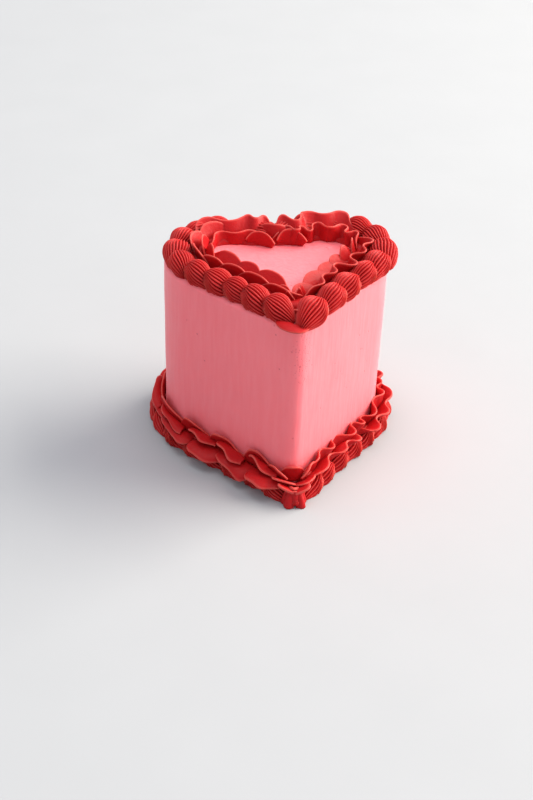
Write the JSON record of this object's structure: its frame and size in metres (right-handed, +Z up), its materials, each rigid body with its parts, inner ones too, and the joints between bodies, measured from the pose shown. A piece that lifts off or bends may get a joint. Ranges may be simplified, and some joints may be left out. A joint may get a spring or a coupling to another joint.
{
  "type": "heart shaped cake",
  "caption": "Tall heart-shaped layer cake in smooth pink buttercream, with red piped shells and frills round its top edge and its foot.",
  "frame": {"origin": "under the middle of the cake's bounding box, on the surface that the cake stands on", "axes": "+Z up; +X to the cake's right, across its two lobes; -Y towards the heart's tip"},
  "size_m": [0.1808, 0.1782, 0.1473],
  "materials": {
    "pink_buttercream": "smooth pink buttercream with a soft satin surface",
    "red_buttercream": "deep red piped buttercream with a soft satin surface"
  },
  "bodies": {
    "root": {"cake_body": "pink_buttercream", "top_shells": "red_buttercream", "top_frill": "red_buttercream", "base_shells": "red_buttercream", "base_frill": "red_buttercream", "tip_flower": "red_buttercream"}
  },
  "joints": []
}
